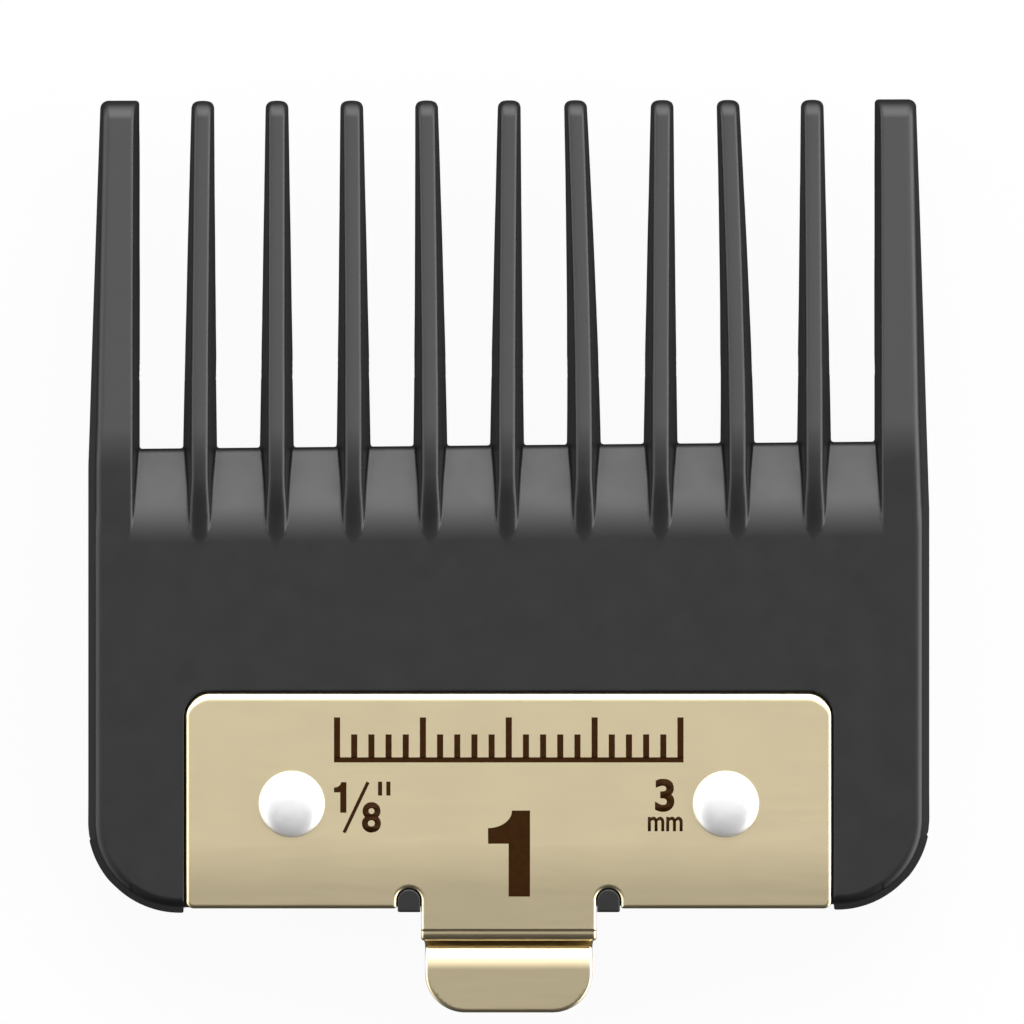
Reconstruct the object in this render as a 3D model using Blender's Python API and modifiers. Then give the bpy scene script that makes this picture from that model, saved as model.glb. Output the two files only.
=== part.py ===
"""Clipper guard comb with a riveted spring clip.

The comb lies with its skin side up. +X is to the right, +Y points along the teeth and +Z up.
The origin is under the middle of the comb, on the plane that its side walls stand on.
Lengths are in millimetres in the constants and are scaled to metres when a mesh is made.
"""

import math

import bmesh
import bpy
from mathutils import Matrix, Vector

MM = 0.001

# Heights
SEAT_Z = 5.2  # underside of the slab, which the blade lies against
FACE_Z = 8.5  # flat skin-side face
RECESS_Z = 8.05  # floor of the shallow recess under the clip

# Comb body in plan
HALF_WIDTH = 24.85
REAR_Y = -21.05
SLAB_REAR_Y = -20.6
CORNER_R = 5.5
LOBE_X = 19.15  # inner edge of the two rear lobes
DRAFT = 0.5  # how far the outer walls lean in from the rim to the face
EDGE_R = 0.25  # rounding of the outer walls' top edge
SEAT_OVERLAP = 0.4  # how far parts of the body reach below the seat before the pocket is cut
WALL_X = 23.35  # inner face of the side walls
WALL_REAR_Y, WALL_ROUND = -16.6, 3.0  # rear end of the side walls, and the length of its rounding
WALL_FRONT_Y, WALL_SLOPE = 8.0, 6.0  # where the walls' lower edge starts to rise, and over what length
WEB_TOP_Y = 0.5  # where the web starts to curve down from the flat face
WEB_R = 6.4  # radius of that curve
WEB_SLOPE_DEG = 28.0
WEB_END_Y = 6.52  # bottom of the gaps between the teeth
WEB_LIP = 0.25  # chamfer along that edge
TAPER_Y = 2.5  # where the sides start to lean in towards the tips

# Teeth
TIP_Y = 26.87
TOOTH_PITCH = 4.52
INNER_TEETH = 9
CREST_W = 0.85
ROOT_W = 1.95
TIP_W = 1.32
CREST_CHAMFER_X, CREST_CHAMFER_Z = 0.14, 0.14  # rounding of a crest's two long edges
TOOTH_BOTTOM_Z = 3.2
TIP_BOTTOM_Z = 3.5
CREST_PEAK_Y, CREST_PEAK_Z = 5.4, 8.78
CREST_RISE_POWER = 1.6
CREST_BEND = 2.4  # length over which the crest turns from level to its full slope
CREST_FALL = math.tan(math.radians(10.5))
NOSE_LENGTH = 1.2
NOSE_AIM = 0.45  # share of the section's height that the nose rounds towards
NOSE_WIDTH = 0.55  # share of the width that is left at the very tip
OUTER_ROOT_X = 21.68  # inner edge of the two wide teeth
OUTER_NOSE_SHRINK = 0.35
OUTER_TIP_X = 24.03  # outer edge of a wide tooth at its tip
STOP_Y, STOP_RUN = 10.5, 1.2  # start and length of the ramp that stops the blade's front edge
# Sideways set of each thin tooth's tip, from a used comb, left to right
TIP_SET = (0.15, 0.05, -0.1, -0.2, 0.1, -0.45, 0.0, -0.5, -0.15)

# Spring clip
SHEET = 0.5
SHEET_GAP = 0.05
RECESS_GAP = 0.13  # shadow line between the clip and the recess round it
PLATE_FOOT_R = 0.3  # rounding of the plate's two lower corners
LUG_GAP = 0.12
PLATE_HALF_W = 18.97
PLATE_TOP_Y = -8.07
PLATE_BOTTOM_Y = -20.76
PLATE_CORNER_R = 1.4
NOTCH_INNER_X = 5.1
NOTCH_OUTER_X = 6.6
NOTCH_TOP_Y = -19.54
FLEX_Y = -19.92
FLEX_GAP = 0.15
TONGUE_HALF_W = 5.05
BEND_Y = -22.04
BEND_R = 0.6
HOOK_LEAN = math.radians(15.0)
HOOK_LEG = 3.55
FOLD_R = 0.3
RETURN_LEG = 3.35
SHOULDER_R = 0.3  # tight bend at the top of the return leg
LIP_SLOPE = math.radians(22.0)  # slope of the sheet past that bend
LIP_R = 3.6  # the long curve that brings it level
TAB_LENGTH = 6.0  # before it is trimmed
TAB_CORNER_R = 2.2
TAB_END_Y = -26.87

# Rivets
RIVET_X, RIVET_Y = 12.77, -14.6
RIVET_HEAD_R = 1.95
RIVET_HEAD_H = 0.7
HEAD_GAP = 0.02  # under the head, so that the two meshes stay apart
RIVET_SHANK_R = 1.1
RIVET_TAIL_R = 1.65
RIVET_BORE_R = 1.2
RIVET_HOLLOW_R = 0.7
TAIL_POCKET_R = 2.1
TAIL_POCKET_TOP_Z = 6.4
TAIL_FLARE, TAIL_BAND, TAIL_ROLL = 0.25, 0.3, 0.3  # heights of the rolled tail's three steps
HOLLOW_DEPTH, HOLLOW_POINT = 1.75, 0.3  # the tail's hollow, and the cone it ends in

SHEET_LOW_Z = RECESS_Z + SHEET_GAP
SHEET_TOP_Z = SHEET_LOW_Z + SHEET
SHEET_MID_Z = SHEET_LOW_Z + SHEET / 2


def clear_scene():
    for obj in list(bpy.data.objects):
        bpy.data.objects.remove(obj, do_unlink=True)


def make_collection(name):
    collection = bpy.data.collections.new(name)
    bpy.context.scene.collection.children.link(collection)
    return collection


def make_material(name, colour, roughness, metallic):
    material = bpy.data.materials.new(name)
    material.use_nodes = True
    shader = material.node_tree.nodes["Principled BSDF"]
    shader.inputs["Base Color"].default_value = (*colour, 1.0)
    shader.inputs["Roughness"].default_value = roughness
    shader.inputs["Metallic"].default_value = metallic
    return material


def add_object(name, mesh, collection):
    obj = bpy.data.objects.new(name, mesh)
    collection.objects.link(obj)
    return obj


def mark_as_helper(obj):
    obj.hide_render = True
    obj.display_type = "WIRE"


def arc(centre, radius, start_deg, end_deg, steps):
    """Points on a circular arc, both ends included."""
    points = []
    for i in range(steps + 1):
        angle = math.radians(start_deg + (end_deg - start_deg) * i / steps)
        points.append((centre[0] + radius * math.cos(angle), centre[1] + radius * math.sin(angle)))
    return points


def mirrored(points):
    """The points and their mirror image about the first axis, as one closed outline."""
    return points + [(-x, y) for x, y in reversed(points)]


def prism(name, outline, thickness, collection, turn=None, place=(0, 0, 0)):
    """A flat outline made solid: a filled 2D curve, extruded both ways and turned into a mesh."""
    curve = bpy.data.curves.new(name, "CURVE")
    curve.dimensions = "2D"
    curve.fill_mode = "BOTH"
    curve.extrude = thickness * MM / 2
    spline = curve.splines.new("POLY")
    spline.points.add(len(outline) - 1)
    for point, (x, y) in zip(spline.points, outline):
        point.co = (x * MM, y * MM, 0, 1)
    spline.use_cyclic_u = True
    drawn = add_object(name + "_outline", curve, collection)
    graph = bpy.context.evaluated_depsgraph_get()
    mesh = bpy.data.meshes.new_from_object(drawn.evaluated_get(graph))
    bpy.data.objects.remove(drawn, do_unlink=True)
    matrix = Matrix.Translation(Vector(place) * MM) @ (turn or Matrix.Identity(4))
    mesh.transform(matrix)
    weld(mesh)
    mesh.name = name
    return add_object(name, mesh, collection)


def weld(mesh):
    shape = bmesh.new()
    shape.from_mesh(mesh)
    bmesh.ops.remove_doubles(shape, verts=shape.verts, dist=1e-7)
    bmesh.ops.recalc_face_normals(shape, faces=shape.faces)
    shape.to_mesh(mesh)
    shape.free()


# Turns a drawing in the plane so that its x runs along Y, its y along Z, and its extrusion along X.
SIDE_VIEW = Matrix.Rotation(math.radians(90), 4, "Z") @ Matrix.Rotation(math.radians(90), 4, "X")


def loft(name, sections, collection):
    """A closed skin through sections that all have the same number of points."""
    shape = bmesh.new()
    rings = [[shape.verts.new(Vector(p) * MM) for p in section] for section in sections]
    count = len(rings[0])
    for ring, following in zip(rings, rings[1:]):
        for i in range(count):
            j = (i + 1) % count
            shape.faces.new((ring[i], ring[j], following[j], following[i]))
    shape.faces.new(rings[0])
    shape.faces.new(list(reversed(rings[-1])))
    bmesh.ops.recalc_face_normals(shape, faces=shape.faces)
    mesh = bpy.data.meshes.new(name)
    shape.to_mesh(mesh)
    shape.free()
    return add_object(name, mesh, collection)


def cylinder(name, radius, low_z, high_z, x, y, collection, segments=32):
    shape = bmesh.new()
    bmesh.ops.create_cone(
        shape,
        cap_ends=True,
        segments=segments,
        radius1=radius * MM,
        radius2=radius * MM,
        depth=(high_z - low_z) * MM,
        matrix=Matrix.Translation(Vector((x, y, (low_z + high_z) / 2)) * MM),
    )
    mesh = bpy.data.meshes.new(name)
    shape.to_mesh(mesh)
    shape.free()
    return add_object(name, mesh, collection)


def boolean(obj, other, operation):
    modifier = obj.modifiers.new(operation.lower() + "_" + other.name, "BOOLEAN")
    modifier.operation = operation
    modifier.solver = "EXACT"
    modifier.object = other
    mark_as_helper(other)


def crest_z(y):
    """Height of a tooth's skin-side crest: a low rise off the face, then a straight fall to the tip."""
    if y <= CREST_PEAK_Y:
        share = (CREST_PEAK_Y - y) / (CREST_PEAK_Y - WEB_TOP_Y)
        return CREST_PEAK_Z - (CREST_PEAK_Z - FACE_Z) * share**CREST_RISE_POWER
    run = y - CREST_PEAK_Y
    if run < CREST_BEND:
        return CREST_PEAK_Z - CREST_FALL * run * run / (2 * CREST_BEND)
    return CREST_PEAK_Z - CREST_FALL * (run - CREST_BEND / 2)


def bottom_z(y):
    """Height of a tooth's underside beyond the stop ramp."""
    share = max(0.0, (y - STOP_Y) / (TIP_Y - STOP_Y))
    return TOOTH_BOTTOM_Z + (TIP_BOTTOM_Z - TOOTH_BOTTOM_Z) * share


def nose(y):
    """How full the section still is at y, 1 before the rounded nose and 0 at the tip."""
    almost_all = 0.985  # leaves a small flat end, so that the last section has an area
    into = max(0.0, (y - (TIP_Y - NOSE_LENGTH)) / NOSE_LENGTH)
    return math.sqrt(1 - min(into, almost_all) ** 2)


def towards_nose(low, high, y):
    """A section's lowest and highest points, drawn together by the nose."""
    full = nose(y)
    middle = low + NOSE_AIM * (high - low)
    return middle + (low - middle) * full, middle + (high - middle) * full


def nose_stations():
    start = TIP_Y - NOSE_LENGTH
    stations = [start + NOSE_LENGTH * math.sin(math.radians(a)) for a in (0, 25, 45, 62, 77)]
    return [*stations, TIP_Y]


def tooth_section(y, centre_x, crest_w, back_w):
    """A trapezoid that is wider on the clipper side, with its crest corners rounded.

    back_w is the width at the real underside, which is the blade seat behind the stop ramp.
    """
    full = nose(y)
    low, high = bottom_z(y), crest_z(y)
    behind_stop = 1 - min(1.0, max(0.0, (y - STOP_Y) / STOP_RUN))
    underside = low + (SEAT_Z - low) * behind_stop
    back_w = crest_w + (back_w - crest_w) * (high - low) / (high - underside)
    low, high = towards_nose(low, high, y)
    narrow = NOSE_WIDTH + (1 - NOSE_WIDTH) * full
    half_crest, half_back = crest_w / 2 * narrow, back_w / 2 * narrow
    shoulder, drop = half_crest + CREST_CHAMFER_X / 2, CREST_CHAMFER_Z * full
    return [
        (centre_x - half_back, y, low),
        (centre_x + half_back, y, low),
        (centre_x + shoulder, y, high - drop),
        (centre_x + shoulder - CREST_CHAMFER_X, y, high),
        (centre_x - shoulder + CREST_CHAMFER_X, y, high),
        (centre_x - shoulder, y, high - drop),
    ]


def inner_tooth(index, collection):
    root_x = (index - (INNER_TEETH - 1) / 2) * TOOTH_PITCH
    sections = []
    rise = (WEB_TOP_Y - 0.6, WEB_TOP_Y + 1.5, 3.8, CREST_PEAK_Y)
    fall = (7.0, 8.4, STOP_Y, STOP_Y + STOP_RUN, 15, 20.5)
    for y in (*rise, *fall, *nose_stations()):
        share = max(0.0, (y - WEB_END_Y) / (TIP_Y - WEB_END_Y))
        width = ROOT_W + (TIP_W - ROOT_W) * share
        centre_x = root_x + TIP_SET[index] * share**1.5
        sections.append(tooth_section(y, centre_x, CREST_W, width))
    return loft(f"tooth_{index + 1}", sections, collection)


def rail_outer_x(y):
    """Outer edge of the comb: a rounded rear corner, a straight side, then a slight taper to the tip."""
    centre_y = REAR_Y + CORNER_R
    if y < centre_y:
        return HALF_WIDTH - CORNER_R + math.sqrt(max(0.0, CORNER_R**2 - (y - centre_y) ** 2))
    share = max(0.0, (y - TAPER_Y) / (TIP_Y - TAPER_Y))
    return HALF_WIDTH - (HALF_WIDTH - OUTER_TIP_X) * share


def wall_z(y):
    """Lower edge of the side wall, which ends in a rounded corner at the rear and a slope at the front."""
    corner_z = SEAT_Z + 0.03  # a hair above the seat, so that the two planes stay apart
    if y < WALL_REAR_Y:
        return corner_z
    if y < WALL_REAR_Y + WALL_ROUND:
        share = (y - WALL_REAR_Y) / WALL_ROUND
        return corner_z * (1 - math.sqrt(share * (2 - share)))
    if y < WALL_FRONT_Y:
        return 0.0
    return TOOTH_BOTTOM_Z * min(1.0, (y - WALL_FRONT_Y) / WALL_SLOPE)


def rail_section(y):
    """Side wall and wide tooth on the right: drafted outside, rounded top edge."""
    outer = rail_outer_x(y)
    inner = LOBE_X if y < 0 else OUTER_ROOT_X
    low = wall_z(y) if y < WALL_FRONT_Y + WALL_SLOPE else bottom_z(y)
    high = FACE_Z if y <= WEB_TOP_Y else crest_z(y)
    low, high = towards_nose(low, high, y)
    shrink = (1 - nose(y)) * OUTER_NOSE_SHRINK
    inner, rim = inner + shrink, outer - shrink
    face = rim - DRAFT * (high - low) / FACE_Z
    edge = min(EDGE_R, 0.4 * (face - inner), 0.45 * (high - low))
    rounded = [(face - edge + edge * math.cos(a), y, high - edge + edge * math.sin(a))
               for a in (0, math.radians(30), math.radians(60), math.radians(90))]
    inner_edge = [(inner + CREST_CHAMFER_X, y, high), (inner, y, high - CREST_CHAMFER_Z)]
    return [(inner, y, low), (rim, y, low), *rounded, *inner_edge]


def outer_rail(side, collection):
    centre_y = REAR_Y + CORNER_R
    corner = [centre_y - CORNER_R * math.cos(math.radians(a)) for a in (4, 14, 26, 38, 50, 64, 78)]
    wall_start = [WALL_REAR_Y + WALL_ROUND * s for s in (0.0, 0.04, 0.12, 0.25, 0.5, 1.0)]
    wall_end = WALL_FRONT_Y + WALL_SLOPE
    front = [-0.01, 0.01, WEB_TOP_Y - 0.2, 3.8, CREST_PEAK_Y, 7.0, WALL_FRONT_Y, STOP_Y, wall_end, 18, 22]
    stations = sorted({round(y, 4) for y in [*corner, *wall_start, centre_y, *front, *nose_stations()]})
    sections = [[(side * x, y, z) for x, y, z in rail_section(y)] for y in stations]
    return loft("rail_right" if side > 0 else "rail_left", sections, collection)


def lug_outline(side):
    """A locating lug that stands in a notch of the clip, its front end round."""
    radius = (NOTCH_OUTER_X - NOTCH_INNER_X) / 2 - LUG_GAP
    middle = (NOTCH_OUTER_X + NOTCH_INNER_X) / 2 * side
    front = arc((middle, NOTCH_TOP_Y - LUG_GAP - radius), radius, 0, 180, 10)
    rear_y = PLATE_BOTTOM_Y - 0.2
    return [*front, (middle - radius, rear_y), (middle + radius, rear_y)]


def make_comb_body(parts, cutters):
    """Slab, side rails and teeth joined, then the blade pocket, clip recess and rivet holes cut."""
    curve = arc((WEB_TOP_Y, FACE_Z - WEB_R), WEB_R, 90, 90 - WEB_SLOPE_DEG, 5)
    slope = math.tan(math.radians(WEB_SLOPE_DEG))
    lip_y = WEB_END_Y - WEB_LIP
    lip_z = curve[-1][1] - slope * (lip_y - curve[-1][0])
    profile = [
        (SLAB_REAR_Y, SEAT_Z - SEAT_OVERLAP),
        (SLAB_REAR_Y, FACE_Z),
        *curve,
        (lip_y, lip_z),
        (WEB_END_Y, lip_z - WEB_LIP),
        (WEB_END_Y, SEAT_Z - SEAT_OVERLAP),
    ]
    into_rail = 0.5
    body = prism("comb_body", profile, 2 * (OUTER_ROOT_X + into_rail), parts, SIDE_VIEW)
    for side in (-1, 1):
        boolean(body, outer_rail(side, cutters), "UNION")
    for index in range(INNER_TEETH):
        boolean(body, inner_tooth(index, cutters), "UNION")

    pocket = [
        (-30, -1),
        (-30, SEAT_Z),
        (STOP_Y + 0.05, SEAT_Z),
        (STOP_Y + STOP_RUN + 0.05, TOOTH_BOTTOM_Z - 0.3),
        (STOP_Y + STOP_RUN + 0.05, -1),
    ]
    boolean(body, prism("pocket_cutter", pocket, 2 * WALL_X, cutters, SIDE_VIEW), "DIFFERENCE")

    half, top, radius = PLATE_HALF_W + RECESS_GAP, PLATE_TOP_Y + RECESS_GAP, PLATE_CORNER_R + RECESS_GAP
    right = [(half, -30), *arc((half - radius, top - radius), radius, 0, 90, 8)]
    clear_height = 4.0  # reaches well above the face
    middle = (0, 0, RECESS_Z + clear_height / 2)
    recess = prism("recess_cutter", mirrored(right), clear_height, cutters, place=middle)
    boolean(body, recess, "DIFFERENCE")

    for side, name in ((-1, "left"), (1, "right")):
        lug_height = FACE_Z - SEAT_Z - SEAT_OVERLAP
        place = (0, 0, FACE_Z - lug_height / 2)
        boolean(body, prism(f"lug_{name}", lug_outline(side), lug_height, cutters, place=place), "UNION")
        x = side * RIVET_X
        bore = cylinder(f"rivet_bore_{name}", RIVET_BORE_R, 0, 12, x, RIVET_Y, cutters)
        boolean(body, bore, "DIFFERENCE")
        tail = cylinder(f"tail_pocket_{name}", TAIL_POCKET_R, 4, TAIL_POCKET_TOP_Z, x, RIVET_Y, cutters)
        boolean(body, tail, "DIFFERENCE")
    return body


def plate_outline():
    """Right half of the clip's plate, from the flex line round to the middle of its top edge."""
    radius = (NOTCH_OUTER_X - NOTCH_INNER_X) / 2
    middle_x = (NOTCH_OUTER_X + NOTCH_INNER_X) / 2
    centre_y = NOTCH_TOP_Y - radius
    stub_y = FLEX_Y + FLEX_GAP / 2
    start_deg = 180 - math.degrees(math.asin((stub_y - centre_y) / radius))
    notch = arc((middle_x, centre_y), radius, start_deg, 0, 10)
    low = arc((PLATE_HALF_W - PLATE_FOOT_R, PLATE_BOTTOM_Y + PLATE_FOOT_R), PLATE_FOOT_R, -90, 0, 3)
    top = arc((PLATE_HALF_W - PLATE_CORNER_R, PLATE_TOP_Y - PLATE_CORNER_R), PLATE_CORNER_R, 0, 90, 8)
    return [*notch, (NOTCH_OUTER_X, PLATE_BOTTOM_Y), *low, *top]


def make_clip_plate(parts, cutters):
    outline = mirrored(plate_outline())
    plate = prism("clip_plate", outline, SHEET, parts, place=(0, 0, SHEET_MID_Z))
    for side, name in ((-1, "left"), (1, "right")):
        hole = cylinder(f"plate_hole_{name}", RIVET_BORE_R, 6, 11, side * RIVET_X, RIVET_Y, cutters)
        boolean(plate, hole, "DIFFERENCE")
    return plate


def sheet_path(start, heading, moves):
    """Points and headings along a bent sheet's middle. A move is a length, or (radius, turn)."""
    y, z = start
    path = [(y, z, heading)]
    for move in moves:
        if not isinstance(move, tuple):
            y += move * math.cos(heading)
            z += move * math.sin(heading)
            path.append((y, z, heading))
            continue
        radius, turn = move
        side = math.copysign(1, turn)
        steps = max(4, round(abs(turn) / math.radians(15)))
        centre_y = y - side * radius * math.sin(heading)
        centre_z = z + side * radius * math.cos(heading)
        for _ in range(steps):
            heading += turn / steps
            y = centre_y + side * radius * math.sin(heading)
            z = centre_z - side * radius * math.cos(heading)
            path.append((y, z, heading))
    return path


def sheet_outline(path):
    """The path made SHEET thick, as a closed outline in the side view."""
    half = SHEET / 2
    left = [(y - half * math.sin(h), z + half * math.cos(h)) for y, z, h in path]
    right = [(y + half * math.sin(h), z - half * math.cos(h)) for y, z, h in path]
    return left + right[::-1]


def make_latch_tongue(parts, cutters):
    """Tongue, folded hook and thumb tab: a bent strip trimmed to its plan outline."""
    start_y = FLEX_Y - FLEX_GAP / 2
    quarter = math.radians(90)
    moves = [
        start_y - BEND_Y,
        (BEND_R, quarter + HOOK_LEAN),
        HOOK_LEG,
        (FOLD_R, -math.radians(180)),
        RETURN_LEG,
        (SHOULDER_R, quarter - HOOK_LEAN - LIP_SLOPE),
        (LIP_R, LIP_SLOPE),
        TAB_LENGTH,
    ]
    path = sheet_path((start_y, SHEET_MID_Z), math.radians(180), moves)
    hinge = Vector((0, FLEX_Y, SHEET_MID_Z))
    tongue = prism("latch_tongue", sheet_outline(path), 2 * TONGUE_HALF_W + 2, parts, SIDE_VIEW, place=-hinge)
    tongue.location = hinge * MM

    corner = arc((TONGUE_HALF_W - TAB_CORNER_R, TAB_END_Y + TAB_CORNER_R), TAB_CORNER_R, -90, 0, 8)
    plan = mirrored([*corner, (TONGUE_HALF_W, start_y + 1)])
    trim = prism("tongue_trim", plan, 20, cutters, place=(0, 0, 5))
    boolean(tongue, trim, "INTERSECT")
    return tongue


def make_rivet(name, x, parts):
    """Domed semi-tubular rivet, turned from one profile."""
    head_base = SHEET_TOP_Z + HEAD_GAP
    dome_r = (RIVET_HEAD_R**2 + RIVET_HEAD_H**2) / (2 * RIVET_HEAD_H)
    half_angle = math.degrees(math.asin(RIVET_HEAD_R / dome_r))
    dome = arc((0, head_base + RIVET_HEAD_H - dome_r), dome_r, 90, 90 - half_angle, 7)
    tail_top = TAIL_POCKET_TOP_Z - SHEET_GAP
    flare_z = tail_top - TAIL_FLARE
    tail_end = flare_z - TAIL_BAND - TAIL_ROLL
    hollow_top = tail_end + HOLLOW_DEPTH
    profile = [
        *dome,
        (RIVET_SHANK_R, head_base),
        (RIVET_SHANK_R, tail_top),
        (RIVET_TAIL_R, flare_z),
        (RIVET_TAIL_R, flare_z - TAIL_BAND),
        (RIVET_SHANK_R, tail_end),
        (RIVET_HOLLOW_R, tail_end + TAIL_FLARE),
        (RIVET_HOLLOW_R, hollow_top),
        (0, hollow_top + HOLLOW_POINT),
    ]
    mesh = bpy.data.meshes.new(name)
    points = [(max(r, 0) * MM, 0, z * MM) for r, z in profile]
    points[0] = (0, 0, points[0][2])
    edges = [(i, i + 1) for i in range(len(points) - 1)]
    mesh.from_pydata(points, edges, [])
    rivet = add_object(name, mesh, parts)
    rivet.location = (x * MM, RIVET_Y * MM, 0)
    screw = rivet.modifiers.new("turn", "SCREW")
    screw.axis = "Z"
    screw.steps = screw.render_steps = 32
    screw.use_merge_vertices = True
    screw.merge_threshold = 0.00001
    screw.use_smooth_shade = True
    return rivet


def main():
    clear_scene()
    parts = make_collection("clipper_guard_comb")
    cutters = make_collection("cutters")
    plastic = make_material("comb_plastic", (0.045, 0.045, 0.047), 0.45, 0.0)
    gold = make_material("clip_gold", (0.62, 0.52, 0.32), 0.33, 1.0)
    nickel = make_material("rivet_nickel", (0.80, 0.80, 0.81), 0.2, 1.0)

    made = [(make_comb_body(parts, cutters), plastic)]
    made.append((make_clip_plate(parts, cutters), gold))
    made.append((make_latch_tongue(parts, cutters), gold))
    made.append((make_rivet("rivet_left", -RIVET_X, parts), nickel))
    made.append((make_rivet("rivet_right", RIVET_X, parts), nickel))
    for obj, material in made:
        obj.data.materials.append(material)
    bpy.context.view_layer.update()


main()
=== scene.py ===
"""Looks for the clipper guard comb: a moulded comb, a plated spring clip with etched marks and two rivets."""

import math

import bmesh
import bpy
import numpy as np
from mathutils import Matrix, Vector


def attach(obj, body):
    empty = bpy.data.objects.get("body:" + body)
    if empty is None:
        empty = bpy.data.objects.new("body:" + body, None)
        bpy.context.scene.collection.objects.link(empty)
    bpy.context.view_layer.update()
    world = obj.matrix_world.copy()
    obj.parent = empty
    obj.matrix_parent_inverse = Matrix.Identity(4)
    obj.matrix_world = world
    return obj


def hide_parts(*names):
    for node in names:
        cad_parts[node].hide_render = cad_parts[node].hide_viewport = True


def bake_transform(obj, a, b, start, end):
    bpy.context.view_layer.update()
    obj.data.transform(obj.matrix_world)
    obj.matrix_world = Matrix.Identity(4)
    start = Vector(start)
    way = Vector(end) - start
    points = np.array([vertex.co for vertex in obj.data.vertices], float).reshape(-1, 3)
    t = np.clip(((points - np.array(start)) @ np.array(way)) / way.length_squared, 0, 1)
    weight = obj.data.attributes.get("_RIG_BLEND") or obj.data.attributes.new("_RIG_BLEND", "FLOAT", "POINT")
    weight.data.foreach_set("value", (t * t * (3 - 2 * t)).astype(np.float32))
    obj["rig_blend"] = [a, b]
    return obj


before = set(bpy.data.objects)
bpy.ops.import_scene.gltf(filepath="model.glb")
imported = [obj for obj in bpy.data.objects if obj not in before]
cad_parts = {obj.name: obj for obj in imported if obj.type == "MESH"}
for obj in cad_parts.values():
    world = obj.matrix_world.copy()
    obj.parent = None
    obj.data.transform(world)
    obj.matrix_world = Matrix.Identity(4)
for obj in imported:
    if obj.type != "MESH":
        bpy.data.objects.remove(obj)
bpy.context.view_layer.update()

MM = 0.001

# The comb and clip are worked out in millimetres in the frame's axes: +Y along the teeth, +Z up.
SEAT_Z, FACE_Z, RECESS_Z = 5.2, 8.5, 8.05
HALF_WIDTH, REAR_Y, SLAB_REAR_Y, CORNER_R = 24.85, -21.0, -20.6, 5.5
DRAFT, TIP_DRAFT = 0.5, 0.22
TAPER_Y, OUTER_TIP_X = (5.5, 2.5), (24.13, 24.07)  # of the left side and of the right
LOBE_X = 19.15
WALL_X, WALL_REAR_Y, WALL_ROUND = 23.35, -16.6, 3.0
WALL_FRONT_Y, WALL_SLOPE = 8.0, 6.0
WEB_TOP_Y, WEB_R, WEB_SLOPE = 0.95, 5.7, math.radians(28)
WEB_END_Y = 6.52

TIP_Y, TOOTH_PITCH, MIDDLE_TOOTH = 26.87, 4.52, 4
TIP_SET = np.array((0.15, 0.0, -0.12, -0.23, 0.13, -0.5, 0.1, -0.55, -0.1), np.float32)
TEETH_SHIFT = -0.1  # of the whole row, from a mould that is slightly off centre
CREST_START_Y, CREST_TOP_Y, CREST_RISE = 0.6, 4.8, 0.38  # the thin teeth's rise off the face
CREST_FALL_Y = 5.3
CREST_SINK, SINK_RUN = 0.25, 2  # how fast the crests curve down into the face behind their start
CREST_BEND, CREST_FALL = 2.4, math.tan(math.radians(10.5))
HALF_CREST, HALF_ROOT, HALF_TIP = 0.5, 1.03, 0.69
CROWN = 0.22
TOOTH_BOTTOM_Z, TIP_BOTTOM_Z = 3.2, 3.5
STOP_Y, STOP_RUN = 10.5, 1.2
OUTER_FOOT_X, OUTER_CREST_X = 21.63, 22.0
# The moulding is a hair out of square: a slope across X at its rear, at the web and at the tips.
SKEW_Y, SKEW = (-21.0, 6.5, 26.9), (0.0047, 0.0098, 0.0017)

SHEET, SHEET_MID_Z = 0.5, 8.35
SHEET_TOP_Z = SHEET_MID_Z + SHEET / 2
PLATE_HALF_W, PLATE_TOP_Y, PLATE_BOTTOM_Y, PLATE_CORNER_R = 18.97, -8.07, -20.76, 1.4
NOTCH_X, NOTCH_R, NOTCH_TOP_Y = 5.87, 0.73, -19.54
TONGUE_HALF_W, TAB_HALF_W, TAB_CORNER_R = 5.15, 4.92, 2.35
BEND_Y, BEND_R, HOOK_LEAN, HOOK_LEG = -22.2, 0.44, math.radians(15), 3.76
FOLD_R, RETURN_LEG, SHOULDER_R, TAB_END_Y = 0.3, 3.5, 0.14, -26.87
LIP_SLOPE, LIP_R, TAB_DROOP = math.radians(22), 3.0, math.radians(2.2)
COINED_STEPS, COIN_DEPTH, COIN_WIDTH, COINED_RUN = (-0.18, 0.36), 0.11, 0.065, 1.2
PLATE_FOOT_R, NOTCH_EDGE_R, ROLLOVER, ROLLOVER_DEPTH, BURR_R = 0.45, 0.15, 0.14, 0.6, 0.06
SAG_START_Y, SAG_RUN, SAG = -16.8, 2.8, 0.007  # the plate's rear curves down a little

RIVET_X, RIVET_Y, RIVET_BORE_R = 12.77, -14.6, 1.2
TAIL_POCKET_R, TAIL_POCKET_TOP_Z = 2.1, 6.4

# Roundings of the moulding's edges
NOSE_R, NOSE_PLAN_R, THIN_EDGE_R = 1.0, 0.55, 0.2
WIDE_NOSE_R, WIDE_EDGE_R, TOOTH_FOOT_R = 1.1, 0.22, 0.4
SIDE_EDGE_R, WEB_LIP_R, WALL_FOOT_R, RIM_R = 0.48, 0.32, 0.3, 0.12
STEP_R, RECESS_EDGE_R, LUG_EDGE_R, HOLE_EDGE_R = 0.1, 0.07, 0.08, 0.08
# The fillet at the teeth's feet grows from nothing where they leave the face.
FILLET_START, FILLET_GROWTH, FILLET_Y, FILLET_RUN = 0.005, 0.135, 1.0, 2.5
# The thin teeth's crests widen towards their roots.
ROOT_FLARE, FLARE_GAP, FLARE_RUN = 0.13, 0.3, 3
# Gaps round the clip, and the least gaps that keep two surfaces from lying in one plane
RECESS_GAP, LUG_GAP = 0.115, 0.06
SEAT_GAP, WALL_GAP, NOSE_GAP = 0.08, 0.05, 0.08


# ---------------------------------------------------------------- fields and their surfaces

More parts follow.
